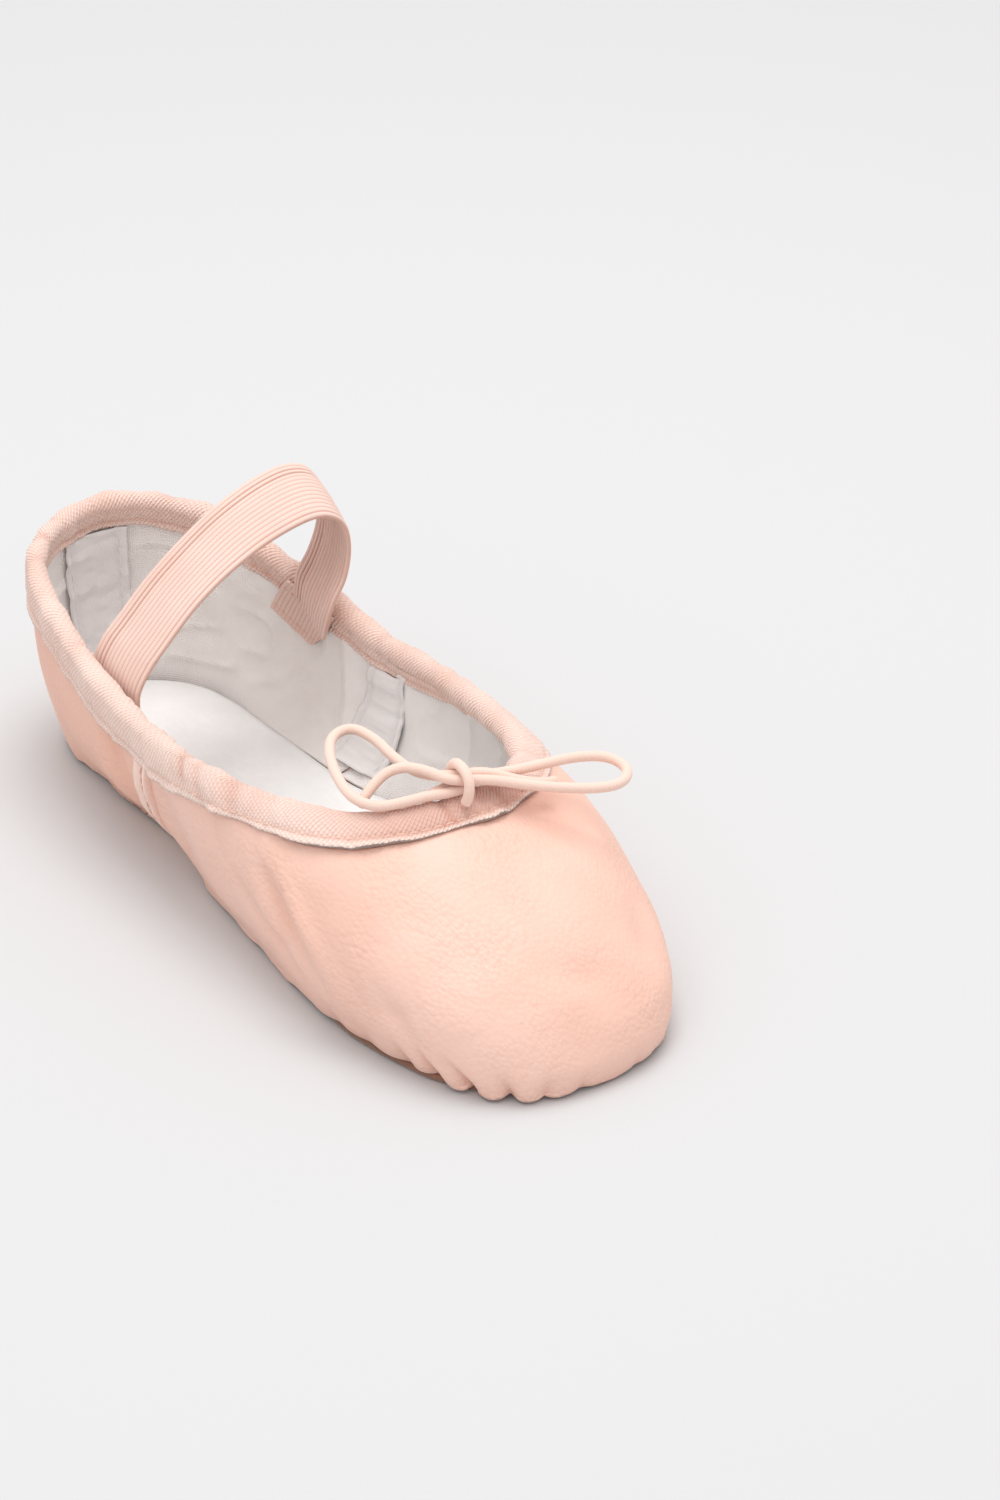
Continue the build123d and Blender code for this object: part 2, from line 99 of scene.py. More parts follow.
STRAP_REAR = [
    (-24, 52, 31.5), (-23.5, 52.2, 36), (-20.9, 52.5, 39.8), (-17.5, 52.8, 42.6), (-8.7, 53.6, 49.8),
    (2.5, 54.5, 56.6), (11.5, 55, 60.9), (20, 55.4, 63.4), (26.2, 55.4, 63.9), (31, 55.2, 62),
    (33.8, 54.7, 57), (32.8, 53.6, 50), (29.4, 52.0, 44.8), (25.3, 50.4, 41.4), (24.0, 49.7, 36.8)]


# ---- the skin formula ----

def catmull_rom(a, b, c, d, f):
    """The smooth curve from b to c, f of the way along, with a before it and d after."""
    return 0.5 * (2 * b + (c - a) * f + (2 * a - 5 * b + 4 * c - d) * f ** 2
                  + (3 * b - a - 3 * c + d) * f ** 3)


def station(t):
    """The row of STATIONS at t, smoothly between the rows."""
    table = np.vstack([STATIONS[1] * MIRRORED, STATIONS, STATIONS[-2] * MIRRORED])
    t = np.asarray(t, float)
    i = np.clip(t.astype(int), 0, HEEL_U - 1)
    f = (t - i)[..., None]
    a, b, c, d = (table[i + k] for k in range(4))
    return catmull_rom(a, b, c, d, f)


def halves(u):
    """How far round each u is from the toe, and its side: 1 left, -1 right."""
    wrapped = (np.asarray(u, float) + HEEL_U) % (2 * HEEL_U) - HEEL_U
    return np.abs(wrapped), np.where(wrapped < 0, -1.0, 1.0)


def sole_edge(u, inset=0.0):
    """Points of the sole edge and their outward directions, in plan."""
    t, side = halves(u)
    along = station(np.minimum(t + 0.001, HEEL_U))[..., :2] - station(np.maximum(t - 0.001, 0))[..., :2]
    along /= np.linalg.norm(along, axis=-1, keepdims=True)
    out = np.stack([along[..., 1], -along[..., 0]], -1)
    point = station(t)[..., :2] - out * np.asarray(inset, float)[..., None]
    flip = np.stack([side, np.ones_like(side)], -1)
    return point * flip, out * flip


def outer(u, v):
    """Points of the leather's outer face."""
    u, v = np.broadcast_arrays(np.asarray(u, float), np.asarray(v, float))
    t, side = halves(u)
    foot, out = sole_edge(u)
    values = station(t)
    top = np.stack([side * values[..., 2], values[..., 3]], -1)
    plan = [foot, foot + out * values[..., 5:6], top + out * values[..., 7:8], top]
    height = [np.full_like(v, LEATHER_BASE), values[..., 6], values[..., 8], values[..., 4]]
    w = 1 - v
    weights = [w ** 3, 3 * v * w ** 2, 3 * v ** 2 * w, v ** 3]
    xy = sum(k[..., None] * p for k, p in zip(weights, plan))
    z = sum(k * h for k, h in zip(weights, height))
    return np.concatenate([xy, z[..., None]], -1)


def unit(a):
    """Vectors of length 1 in the same directions."""
    return a / np.maximum(np.linalg.norm(a, axis=-1, keepdims=True), 1e-9)


def outward(u, v):
    """The outward direction of the leather's outer face."""
    step = 0.01
    v = np.clip(v, step, 1 - step)
    return unit(np.cross(outer(u + step, v) - outer(u - step, v), outer(u, v + step) - outer(u, v - step)))


def skin(u, v, depth=0.0):
    """Points depth inside the leather's outer face."""
    return outer(u, v) - outward(u, v) * np.asarray(depth, float)[..., None]


def travelled(points, axis=0):
    """How far along a line of points each one lies, starting at 0."""
    steps = np.linalg.norm(np.diff(points, axis=axis), axis=-1)
    start = np.zeros_like(np.take(steps, [0], axis=axis))
    return np.concatenate([start, np.cumsum(steps, axis=axis)], axis)


def below_top(u, drop):
    """The v that lies drop millimetres down the skin from the top, for every u."""
    u = np.atleast_1d(np.asarray(u, float))
    vs = np.linspace(1, 0.2, 161)
    points = outer(u[:, None], vs[None, :])
    down = travelled(points, axis=1)
    drop = np.broadcast_to(np.asarray(drop, float), u.shape)
    return np.array([np.interp(d, row, vs) for d, row in zip(drop, down)])


def noise(points, size, seed):
    """Smooth value noise from -1 to 1, the same on every run."""
    p = np.asarray(points, float) / size + seed * 17.31
    cell = np.floor(p).astype(np.int64)
    f = p - cell
    f = f * f * (3 - 2 * f)
    total = 0.0
    dims = p.shape[-1]
    primes = (73856093, 19349663, 83492791)
    for corner in range(2 ** dims):
        bits = [(corner >> k) & 1 for k in range(dims)]
        key = sum((cell[..., k] + bits[k]) * primes[k] for k in range(dims)) + seed * 7919
        key = (key ^ (key >> 13)) * 1274126177 & 0x7FFFFFFF
        value = (key % 20011) / 10005.5 - 1
        weight = np.prod([f[..., k] if bits[k] else 1 - f[..., k] for k in range(dims)], axis=0)
        total = total + value * weight
    return total


def bump_at(x, centre, width):
    """A smooth hump, 1 at the centre."""
    return np.exp(-((x - centre) / width) ** 2)


# ---- meshes ----

def mesh_object(name, points, faces, uv, material, shade=None):
    """A smooth mesh in metres from points in millimetres. uv is one pair in millimetres per point.

    shade is one number per point, from -1, painted paler, to 1, painted shade in a crease."""
    mesh = bpy.data.meshes.new(name)
    mesh.from_pydata((np.asarray(points) * MM).tolist(), [], faces)
    mesh.polygons.foreach_set("use_smooth", np.ones(len(mesh.polygons), bool))
    layer = mesh.uv_layers.new(name="weave")
    corner = np.empty(len(mesh.loops), np.int32)
    mesh.loops.foreach_get("vertex_index", corner)
    layer.data.foreach_set("uv", (np.asarray(uv)[corner] * 0.1).astype(np.float32).ravel())
    if shade is not None:
        tone = mesh.attributes.new("shade", "FLOAT", "POINT")
        tone.data.foreach_set("value", np.asarray(shade, np.float32).ravel())
    mesh.materials.append(material)
    mesh.validate()
    piece = bpy.data.objects.new(name, mesh)
    bpy.context.scene.collection.objects.link(piece)
    return piece


def grid_faces(rows, columns, closed_columns=False):
    """Quads over a grid of points, rows by columns."""
    r = np.arange(rows - 1)
    c = np.arange(columns if closed_columns else columns - 1)
    r, c = (a.ravel() for a in np.meshgrid(r, c, indexing="ij"))
    r2, c2 = r + 1, (c + 1) % columns
    quads = np.stack([r * columns + c, r2 * columns + c, r2 * columns + c2, r * columns + c2], 1)
    return quads.tolist()


def grid_normals(grid):
    """The unit normal at every point of a grid."""
    return unit(np.cross(np.gradient(grid, axis=0), np.gradient(grid, axis=1)))


def grid_uv(grid):
    """Arc lengths along both directions of a grid, as (u, v) in millimetres."""
    middle = grid.shape[1] // 2
    along = travelled(grid[:, middle])
    across = np.concatenate([[0], np.cumsum(np.linalg.norm(np.diff(grid, axis=1), axis=2).mean(0))])
    a, b = np.meshgrid(along, across, indexing="ij")
    return np.stack([a, b], -1)


def sheet_piece(name, face, thick, material, shade=None):
    """A closed sheet: face is its outer grid, and its back is the same grid moved in by thick."""
    normals = grid_normals(face)
    back = face - normals * thick
    swell = thick * EDGE_SWELL
    middle_low = (face[:, :1] + back[:, :1]) / 2 - unit(face[:, 1:2] - face[:, :1]) * swell
    middle_top = (face[:, -1:] + back[:, -1:]) / 2 + unit(face[:, -1:] - face[:, -2:-1]) * swell
    loop = np.concatenate([face, middle_top, back[:, ::-1], middle_low], 1)
    uv = grid_uv(face)
    uv = np.concatenate([uv, uv[:, -1:], uv[:, ::-1], uv[:, :1]], 1)
    if shade is not None:
        shade = np.concatenate([shade, shade[:, -1:], shade[:, ::-1], shade[:, :1]], 1)
    rows, columns = loop.shape[:2]
    faces = grid_faces(rows, columns, closed_columns=True)
    count = face.shape[1]
    for row, flip in ((0, False), (rows - 1, True)):
        start = row * columns
        pairs = [(start + k, start + 2 * count - k) for k in range(count)]
        for (a, b), (c, d) in zip(pairs, pairs[1:]):
            faces.append([a, c, d, b][::-1] if flip else [a, c, d, b])
        ends = ([start + count - 1, start + count, start + count + 1],
                [start + 2 * count, start + 2 * count + 1, start])
        faces += [e[::-1] if flip else e for e in ends]
    return mesh_object(name, loop.reshape(-1, 3), faces, uv.reshape(-1, 2), material, shade)


def loop_piece(name, loops, material, uv=None, shade=None):
    """A tube through closed cross-sections, with its ends filled."""
    rows, columns = loops.shape[:2]
    faces = grid_faces(rows, columns, closed_columns=True)
    faces += [list(range(columns)), list(range((rows - 1) * columns, rows * columns))[::-1]]
    uv = grid_uv(loops) if uv is None else uv
    return mesh_object(name, loops.reshape(-1, 3), faces, uv.reshape(-1, 2), material, shade)


def capsules(name, centres, along, normal, length, width, thick, material, sides=6):
    """Many short rounded stitches in one mesh."""
    along, normal = unit(along), unit(normal)
    side = np.cross(normal, along)
    profile = [(-0.5, 0.35), (-0.38, 0.85), (0, 1), (0.38, 0.85), (0.5, 0.35)]
    rings = []
    for place, swell in profile:
        for k in range(sides):
            turn = 2 * math.pi * k / sides
            rings.append(centres + along * (place * length) + side * (math.cos(turn) * width / 2 * swell)
                         + normal * (math.sin(turn) * thick / 2 * swell - abs(place) * thick * 0.8))
    points = np.stack(rings, 1)
    count, per = points.shape[:2]
    single = grid_faces(len(profile), sides, closed_columns=True)
    single += [list(range(sides))[::-1], list(range(per - sides, per))]
    faces = [[index + n * per for index in f] for n in range(count) for f in single]
    uv = np.zeros((count * per, 2))
    uv[:, 0] = np.repeat(np.arange(count) * 3.0, per)
    return mesh_object(name, points.reshape(-1, 3), faces, uv, material)


def stitch_line(name, path, normals, material, pitch=2.5, length=1.9, width=0.42, thick=0.3):
    """Stitches at an even pitch along a line of points."""
    lengths = travelled(path)
    places = np.arange(pitch / 2, lengths[-1], pitch)

    def at(values, s):
        return np.stack([np.interp(s, lengths, values[:, k]) for k in range(3)], 1)

    along = at(path, np.minimum(places + 0.6, lengths[-1])) - at(path, np.maximum(places - 0.6, 0))
    return capsules(name, at(path, places), along, at(normals, places), length, width, thick, material)


def cord_piece(name, route, diameter, material):
    """A round cord along a smooth spline."""
    curve = bpy.data.curves.new(name, "CURVE")
    curve.dimensions = "3D"
    curve.bevel_depth = diameter / 2 * MM
    curve.bevel_resolution = 5
    curve.use_fill_caps = True
    curve.resolution_u = 14
    spline = curve.splines.new("NURBS")
    spline.points.add(len(route) - 1)
    for point, place in zip(spline.points, route):
        point.co = (place[0] * MM, place[1] * MM, place[2] * MM, 1)
    spline.order_u = 3
    spline.use_endpoint_u = True
    curve.materials.append(material)
    piece = bpy.data.objects.new(name, curve)
    bpy.context.scene.collection.objects.link(piece)
    return piece


def across_flex(piece):
    """Bakes the piece's placement into its mesh."""
    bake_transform(piece)


# ---- materials ----

BLACK, WHITE = (0, 0, 0, 1), (1, 1, 1, 1)
PALE_COTTON = (0.95, 0.93, 0.91)


class Nodes:
    """A small helper that writes one procedural material."""

    def __init__(self, name, roughness, sheen=0.0, specular=0.4):
        self.material = bpy.data.materials.new(name)
        self.material.use_nodes = True
        self.tree = self.material.node_tree
        self.shader = self.tree.nodes["Principled BSDF"]
        self.shader.inputs["Roughness"].default_value = roughness
        self.shader.inputs["Sheen Weight"].default_value = sheen
        self.shader.inputs["Sheen Roughness"].default_value = 0.5
        self.shader.inputs["Specular IOR Level"].default_value = specular
        uv = self.tree.nodes.new("ShaderNodeUVMap")
        uv.uv_map = "weave"
        self.uv = uv.outputs[0]
        self.place = self.tree.nodes.new("ShaderNodeTexCoord").outputs["Object"]

    def node(self, kind, **settings):
        made = self.tree.nodes.new("ShaderNode" + kind)
        for key, value in settings.items():
            setattr(made, key, value)
        return made

    def link(self, source, target):
        self.tree.links.new(source, target)

    def mapped(self, source, scale=(1, 1, 1), turn=0.0):
        """The source scaled, and turned by degrees about Z."""
        made = self.node("Mapping")
        self.link(source, made.inputs["Vector"])
        made.inputs["Scale"].default_value = scale
        made.inputs["Rotation"].default_value = (0, 0, math.radians(turn))
        return made.outputs[0]

    def texture(self, kind, source, scale, **values):
        made = self.node("Tex" + kind)
        self.link(source, made.inputs["Vector"])
        made.inputs["Scale"].default_value = scale
        for key, value in values.items():
            made.inputs[key.replace("_", " ")].default_value = value
        return made.outputs["Distance" if kind == "Voronoi" else "Fac"]

    def ramp(self, source, low, high, falling=False):
        """0 to 1 as the source goes from low to high, or 1 to 0."""
        made = self.node("ValToRGB")
        self.link(source, made.inputs[0])
        ends = (WHITE, BLACK) if falling else (BLACK, WHITE)
        for element, position, colour in zip(made.color_ramp.elements, (low, high), ends):
            element.position = position
            element.color = colour
        return made.outputs[0]

    def math(self, operation, a, b=0.0):
        made = self.node("Math", operation=operation)
        for k, value in enumerate((a, b)):
            if isinstance(value, (int, float)):
                made.inputs[k].default_value = value
            else:
                self.link(value, made.inputs[k])
        return made.outputs[0]

    def times(self, a, b):
        return self.math("MULTIPLY", a, b)

    def plus(self, a, b):
        return self.math("ADD", a, b)

    def minus(self, a, b):
        return self.math("SUBTRACT", a, b)

    def mix(self, factor, a, b):
        made = self.node("Mix", data_type="RGBA", blend_type="MIX")
        for socket, value in ((made.inputs[0], factor), (made.inputs[6], a), (made.inputs[7], b)):
            if isinstance(value, (int, float)):
                socket.default_value = value
            elif isinstance(value, tuple):
                socket.default_value = (*value, 1)
            else:
                self.link(value, socket)
        return made.outputs[2]

    def colour(self, value, dark, light=(0.94, 0.76, 0.68)):
        """Set the colour: where the mesh's shade is above 0 it turns towards dark, painted shade in creases
        and grooves, and where it is below 0 towards light, a painted paler tone.
        """
        shade = self.node("Attribute", attribute_name="shade").outputs["Fac"]
        toned = self.mix(self.clamp(shade), value, dark)
        pale = self.clamp(self.times(shade, -1.0))
        self.link(self.mix(pale, toned, light), self.shader.inputs["Base Color"])

    def clamp(self, source):
        made = self.node("Clamp")
        self.link(source, made.inputs[0])
        return made.outputs[0]

    def bump(self, height, distance, strength=1.0, after=None):
        made = self.node("Bump")
        made.inputs["Strength"].default_value = strength
        made.inputs["Distance"].default_value = distance
        self.link(height, made.inputs["Height"])
        if after is not None:
            self.link(after, made.inputs["Normal"])
        self.link(made.outputs[0], self.shader.inputs["Normal"])
        return made.outputs[0]


def leather_material(name, base, dark, deep):
    """Soft leather: fine pebbled grain, stronger in patches, with fine wrinkles."""
    n = Nodes(name, 0.5, sheen=0.05, specular=0.38)
    cloud = n.texture("Noise", n.place, 28, Detail=4)
    fine = n.texture("Noise", n.place, 700, Detail=4)
    stretched = n.mapped(n.place, (1, 0.62, 0.9), turn=25)
    cells = n.texture("Voronoi", stretched, 1200)
    patch = n.ramp(n.texture("Noise", n.place, 60, Detail=2), 0.38, 0.62)
    tone = n.mix(n.ramp(cloud, 0.35, 0.7), base, dark)
    depth = n.plus(n.times(patch, 0.35), 0.15)
    pores = n.times(n.ramp(cells, 0.35, 0.9), depth)
    n.colour(n.mix(pores, tone, dark), deep)
    grain = n.plus(n.times(cells, -0.8), n.times(fine, 0.5))
    grain = n.times(grain, n.plus(n.times(patch, 0.7), 0.45))
    first = n.bump(grain, 0.00028, 0.75)
    slanting = n.mapped(n.place, (1.5, 0.5, 0.9), turn=-35)
    line = n.texture("Noise", slanting, 150, Detail=3, Distortion=0.6)
    wrinkles = n.ramp(n.math("ABSOLUTE", n.minus(line, 0.5)), 0.0, 0.10)
    n.bump(n.times(wrinkles, patch), 0.00025, 0.3, after=first)
    return n.material


def twill_material(name, base, dark, deep):
    """Cotton twill: fine diagonal ribs broken by the weft."""
    n = Nodes(name, 0.9, sheen=0.3, specular=0.12)
    rib = n.texture("Wave", n.mapped(n.uv, turn=38), 4.3, Distortion=0.5, Detail_Scale=8)
    weft = n.texture("Wave", n.mapped(n.uv, turn=-50), 3.2, Distortion=0.4)
    weave = n.times(rib, n.plus(n.times(weft, 0.55), 0.45))
    fluff = n.texture("Noise", n.place, 900, Detail=3)
    cloud = n.texture("Noise", n.place, 70, Detail=3)
    tone = n.mix(n.times(n.ramp(cloud, 0.4, 0.75), 0.45), base, dark)
    hollows = n.ramp(weave, 0.0, 0.55, falling=True)
    n.colour(n.mix(n.times(hollows, 0.6), tone, dark), deep)
    height = n.plus(weave, n.times(fluff, 0.4))
    n.bump(height, 0.0003, 0.9)
    return n.material


def plain_weave(name, base, dark, threads=7.0):
    """A plain woven cotton, crossed threads with a cloudy tone."""
    n = Nodes(name, 0.9, sheen=0.2, specular=0.12)
    warp = n.texture("Wave", n.uv, threads, Distortion=0.4, Detail_Scale=6)
    weft = n.texture("Wave", n.mapped(n.uv, turn=90), threads, Distortion=0.4)
    cloth = n.times(warp, weft)
    cloud = n.texture("Noise", n.place, 40, Detail=4)
    tone = n.mix(n.times(n.ramp(cloud, 0.35, 0.75), 0.6), base, dark)
    hollows = n.times(n.minus(1.0, cloth), 0.16)
    n.colour(n.mix(hollows, tone, dark), dark, PALE_COTTON)
    fuzz = n.texture("Noise", n.place, 700, Detail=3)
    soft = n.texture("Noise", n.mapped(n.place, (1, 1, 0.6)), 110, Detail=3)
    crumple = n.bump(soft, 0.0012, 0.5)
    n.bump(n.plus(cloth, n.times(fuzz, 0.5)), 0.00016, 0.7, after=crumple)
    return n.material


def napped_material(name, base, dark, scale, bump):
    """A brushed surface: suede, felt or a brushed sock liner."""
    n = Nodes(name, 0.95, sheen=0.35, specular=0.08)
    cloud = n.texture("Noise", n.place, scale * 0.06, Detail=5)
    nap = n.texture("Noise", n.mapped(n.place, (1, 0.55, 1)), scale, Detail=6)
    tone = n.mix(n.ramp(cloud, 0.3, 0.7), base, dark)
    n.colour(n.mix(n.times(nap, 0.5), tone, dark), dark)
    n.bump(nap, bump, 0.9)
    return n.material


def cord_material(name, base, dark):
    """Fine tubular braid."""
    n = Nodes(name, 0.6, sheen=0.25, specular=0.3)
    one = n.texture("Wave", n.mapped(n.place, turn=45), 700)
    two = n.texture("Wave", n.mapped(n.place, turn=-45), 700)
    braid = n.times(one, two)
    n.colour(n.mix(n.times(n.minus(1.0, braid), 0.25), base, dark), dark)
    n.bump(braid, 0.00006, 0.5)
    return n.material


def elastic_material(name, base, dark, deep):
    """Ribbed elastic: pale rubber-cored ribs with dark lines between, and fine cross threads."""
    n = Nodes(name, 0.75, sheen=0.3, specular=0.2)
    parts = n.node("SeparateXYZ")
    n.link(n.uv, parts.inputs[0])
    phase = n.times(parts.outputs[1], math.pi * STRAP_RIBS / (STRAP_WIDTH * 0.1))
    rib = n.math("ABSOLUTE", n.math("SINE", phase))
    line = n.ramp(rib, 0.05, 0.5, falling=True)
    cross = n.texture("Wave", n.uv, 7.5, Distortion=0.6, Detail_Scale=5)
    cloud = n.texture("Noise", n.place, 60, Detail=3)
    tone = n.mix(n.times(n.ramp(cloud, 0.3, 0.7), 0.3), base, dark)
    tone = n.mix(n.times(n.minus(1.0, cross), 0.14), tone, dark)
    n.colour(n.mix(n.times(line, 0.8), tone, dark), deep)
    n.bump(n.plus(n.times(cross, 0.35), rib), 0.00022, 0.7)
    return n.material


def thread_material(name, base, dark):
    """Twisted sewing thread."""
    n = Nodes(name, 0.6, sheen=0.3, specular=0.3)
    twist = n.texture("Wave", n.mapped(n.place, turn=30), 1500)
    n.colour(n.mix(n.times(twist, 0.5), base, dark), dark)
    n.bump(twist, 0.00005, 0.5)
    return n.material


# The last colour given to the leather, twill and elastic materials is the painted shade colour that the
# meshes' shade attribute mixes in; for the plain weave and napped materials their dark colour is both their
# darker tone and that painted shade.
LEATHER_PINK = leather_material("vamp_leather", (0.870, 0.575, 0.480), (0.835, 0.500, 0.392),
                                (0.60, 0.25, 0.17))
# Painted shade: the quarters are cut from the vamp's leather, given here as a darker, more saturated copy.
SHADED_QUARTER_PINK = leather_material("quarter_leather", (0.870, 0.535, 0.425), (0.810, 0.455, 0.345),
                                (0.55, 0.24, 0.17))
TAB_PINK = leather_material("tab_leather", (0.915, 0.680, 0.590), (0.850, 0.560, 0.460), (0.60, 0.28, 0.21))
TWILL = twill_material("binding_twill", (0.935, 0.720, 0.640), (0.760, 0.440, 0.345), (0.56, 0.23, 0.155))
COTTON = plain_weave("lining_cotton", (0.955, 0.920, 0.900), (0.840, 0.780, 0.750))
TAPE = plain_weave("seam_tape", (0.940, 0.915, 0.905), (0.760, 0.710, 0.700), threads=9)
SOCK = napped_material("brushed_sock_liner", (0.930, 0.935, 0.930), (0.790, 0.785, 0.775), 900, 0.00012)
FOAM = napped_material("insole_edge", (0.55, 0.50, 0.47), (0.35, 0.31, 0.29), 700, 0.00015)
SUEDE = napped_material("outsole_suede", (0.380, 0.205, 0.140), (0.200, 0.095, 0.060), 650, 0.0004)
FELT = napped_material("filler_felt", (0.45, 0.42, 0.38), (0.30, 0.27, 0.24), 500, 0.0003)
ELASTIC = elastic_material("strap_elastic", (0.850, 0.640, 0.565), (0.650, 0.365, 0.280), (0.52, 0.23, 0.155))
CORD_PINK = cord_material("drawstring_cotton", (0.875, 0.655, 0.565), (0.720, 0.430, 0.335))
THREAD = thread_material("pink_thread", (0.850, 0.560, 0.460), (0.640, 0.350, 0.260))
WHITE_THREAD = thread_material("white_thread", (0.86, 0.84, 0.84), (0.62, 0.60, 0.62))


# ---- camera, light and floor ----

def camera():
    """The view: from the toe's right, looking down on the opening."""
    azimuth, elevation, distance = math.radians(-35.9), math.radians(30.6), 1.0
    aim = np.array((0.0573, 0.0222, 0))
    back = np.array((math.sin(azimuth) * math.cos(elevation), -math.cos(azimuth) * math.cos(elevation),
                     math.sin(elevation)))
    data = bpy.data.cameras.new("camera")
    data.sensor_width = 36
    data.lens = 112.6
    data.clip_start = 0.01
    piece = bpy.data.objects.new("camera", data)
    piece.location = aim + back * distance
    piece.rotation_euler = (math.pi / 2 - elevation, 0, azimuth)
    bpy.context.scene.collection.objects.link(piece)
    bpy.context.scene.camera = piece


def area_light(name, place, aim, size, power, colour=(1, 1, 1)):
    data = bpy.data.lights.new(name, "AREA")
    data.shape = "DISK"
    data.size = size
    data.energy = power
    data.color = colour
    piece = bpy.data.objects.new(name, data)
    piece.location = place
    direction = np.array(aim) - np.array(place)
    heading = math.atan2(direction[1], direction[0])
    fall = math.atan2(math.hypot(direction[0], direction[1]), -direction[2])
    piece.rotation_euler = (fall, 0, heading - math.pi / 2)
    bpy.context.scene.collection.objects.link(piece)


def studio():
    """A plain pale floor, a large soft key and a fill, both nearly overhead, and a pale surround."""
    mesh = bpy.data.meshes.new("floor")
    mesh.from_pydata([(-3, -3, 0), (3, -3, 0), (3, 3, 0), (-3, 3, 0)], [], [(0, 1, 2, 3)])
    floor = bpy.data.objects.new("floor", mesh)
    paint = bpy.data.materials.new("pale_floor")
    paint.use_nodes = True
    shader = paint.node_tree.nodes["Principled BSDF"]
    shader.inputs["Base Color"].default_value = (0.61, 0.61, 0.615, 1)
    shader.inputs["Roughness"].default_value = 0.9
    mesh.materials.append(paint)
    bpy.context.scene.collection.objects.link(floor)
    world = bpy.data.worlds.new("surround")
    world.use_nodes = True
    world.node_tree.nodes["Background"].inputs[0].default_value = (1, 1, 1, 1)
    world.node_tree.nodes["Background"].inputs[1].default_value = 0.90
    bpy.context.scene.world = world
    area_light("key", (0.16, 0.14, 1.1), (0, 0, 0.02), 0.7, 5.6, (1, 0.99, 0.98))
    area_light("fill", (-0.35, -0.15, 1.05), (0, 0, 0.03), 0.9, 2.2)
    bpy.context.scene.view_settings.view_transform = "Standard"


camera()
studio()


# ---- drawstring bow ----

def bow():
    knot = cord_piece("bow_knot_strand", KNOT, CORD, CORD_PINK)
    left = cord_piece("drawstring_left_loop", LEFT_LOOP, CORD, CORD_PINK)
    right = cord_piece("drawstring_right_loop", RIGHT_LOOP, CORD, CORD_PINK)
    for piece, node in ((knot, "bow_knot"), (left, "bow_cord_left_loop"), (right, "bow_cord_right_loop")):
        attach(piece, "bow")
        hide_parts(node)


bow()


# ---- upper ----

# The gathers round the toe, deepest on its right: where along u, how deep, how wide and how high.
PLEATS = [(-2.9, 0.35, 1.2, 5), (-2.58, 0.4, 1.2, 5), (-2.17, 0.9, 1.1, 5.5), (-1.86, 1.4, 1.0, 5.5),
          (-1.49, 1.9, 0.9, 5), (-1.08, 1.1, 1.0, 4), (-0.7, 0.7, 1.1, 3.5), (-0.3, 0.3, 1.2, 3),
          (0.45, 0.25, 1.3, 3), (1.25, 0.4, 1.3, 3.5), (1.62, 0.7, 1.1, 4), (1.98, 0.8, 1.1, 4.5),
          (2.35, 0.6, 1.2, 5), (2.75, 0.35, 1.3, 5)]
# Dents and ridges of the worn-in vamp: how far out, where along u and how wide, where up v and how
# high, and how much the place moves along u with v.
DENTS = [(-2.6, -2.93, 0.15, 0.43, 0.15, 0), (1.2, -2.58, 0.15, 0.46, 0.15, 0),
         (-1.2, -3.326, 0.16, 0.28, 0.12, 1.2), (-1.1, 0.02, 0.28, 0.42, 0.06, 2.2),
         (-0.9, -1.9, 0.16, 0.26, 0.10, 0), (-0.9, 0.95, 0.18, 0.42, 0.08, 0),
         (0.5, 0.7, 0.5, 0.25, 0.06, 0), (-0.9, 3.3, 0.2, 0.45, 0.2, 0),
         (-0.9, -4.6, 0.15, 0.45, 0.3, 0), (-0.9, 4.6, 0.15, 0.45, 0.3, 0)]
# Where the suede's edge shows, between two places along u on both sides.
BARE_FROM, BARE_TO = 1.75, 3.1


def upper_rows(u, top_drop, rows):
    """v for every row of a leather panel, closer together at the sole edge."""
    top = below_top(u, top_drop)
    share = np.linspace(0, 1, rows) ** 1.25
    return top[:, None] * share[None, :]


def pleats(u, climb):
    """How far the gathered toe edge stands out, and the painted shade in its creases."""
    around = u * 17.5
    lean = 0.22 * climb * np.sin(u * 3.1)
    push, dark = np.zeros_like(climb), np.zeros_like(climb)
    for place, depth, width, height in PLEATS:
        away = around + lean - place * 17.5
        fade = np.exp(-(climb / height) ** 2)
        crease = 1 / (1 + (away / width) ** 2)
        puff = np.exp(-((np.abs(away) - 3.2) / 2.0) ** 2)
        push += (0.32 * puff * depth - crease * depth) * fade
        # The creases get painted shade, darker where the pleat is deeper.
        dark = np.maximum(dark, crease ** 2 * fade * min(1, depth / 1.6))
    fine = noise(np.stack([around * 1.0 + lean * 2, climb * 0.25], -1), 1.5, 6)
    reach = bump_at(u, -1.5, 1.1) + bump_at(u, 1.9, 0.8)
    push += 0.14 * fine * reach * np.exp(-(climb / 9) ** 2) * np.clip(climb / 2, 0, 1)
    return push, dark * 0.5


def folds(point, u, v):
    """Soft creases of the worn-in leather, outwards in millimetres."""
    soft = 0.75 * noise(point * (1, 0.8, 1), 17.0, 1) + 0.26 * noise(point, 7.5, 2)
    ridge = 1 - np.abs(noise(point * (1.2, 0.5, 0.8), 8.5, 4))
    creased = -0.35 * np.maximum(ridge - 0.72, 0) / 0.28
    creased = creased * bump_at(np.abs(u), 2.6, 1.5) * bump_at(v, 0.25, 0.3)
    dents = 0.0
    for out, around, reach, up, rise, lean in DENTS:
        dents = dents + out * bump_at(u + lean * (v - up), around, reach) * bump_at(v, up, rise)
    return (soft + creased + dents) * np.clip(v * 6, 0.15, 1) * np.clip((0.9 - v) * 6, 0, 1)


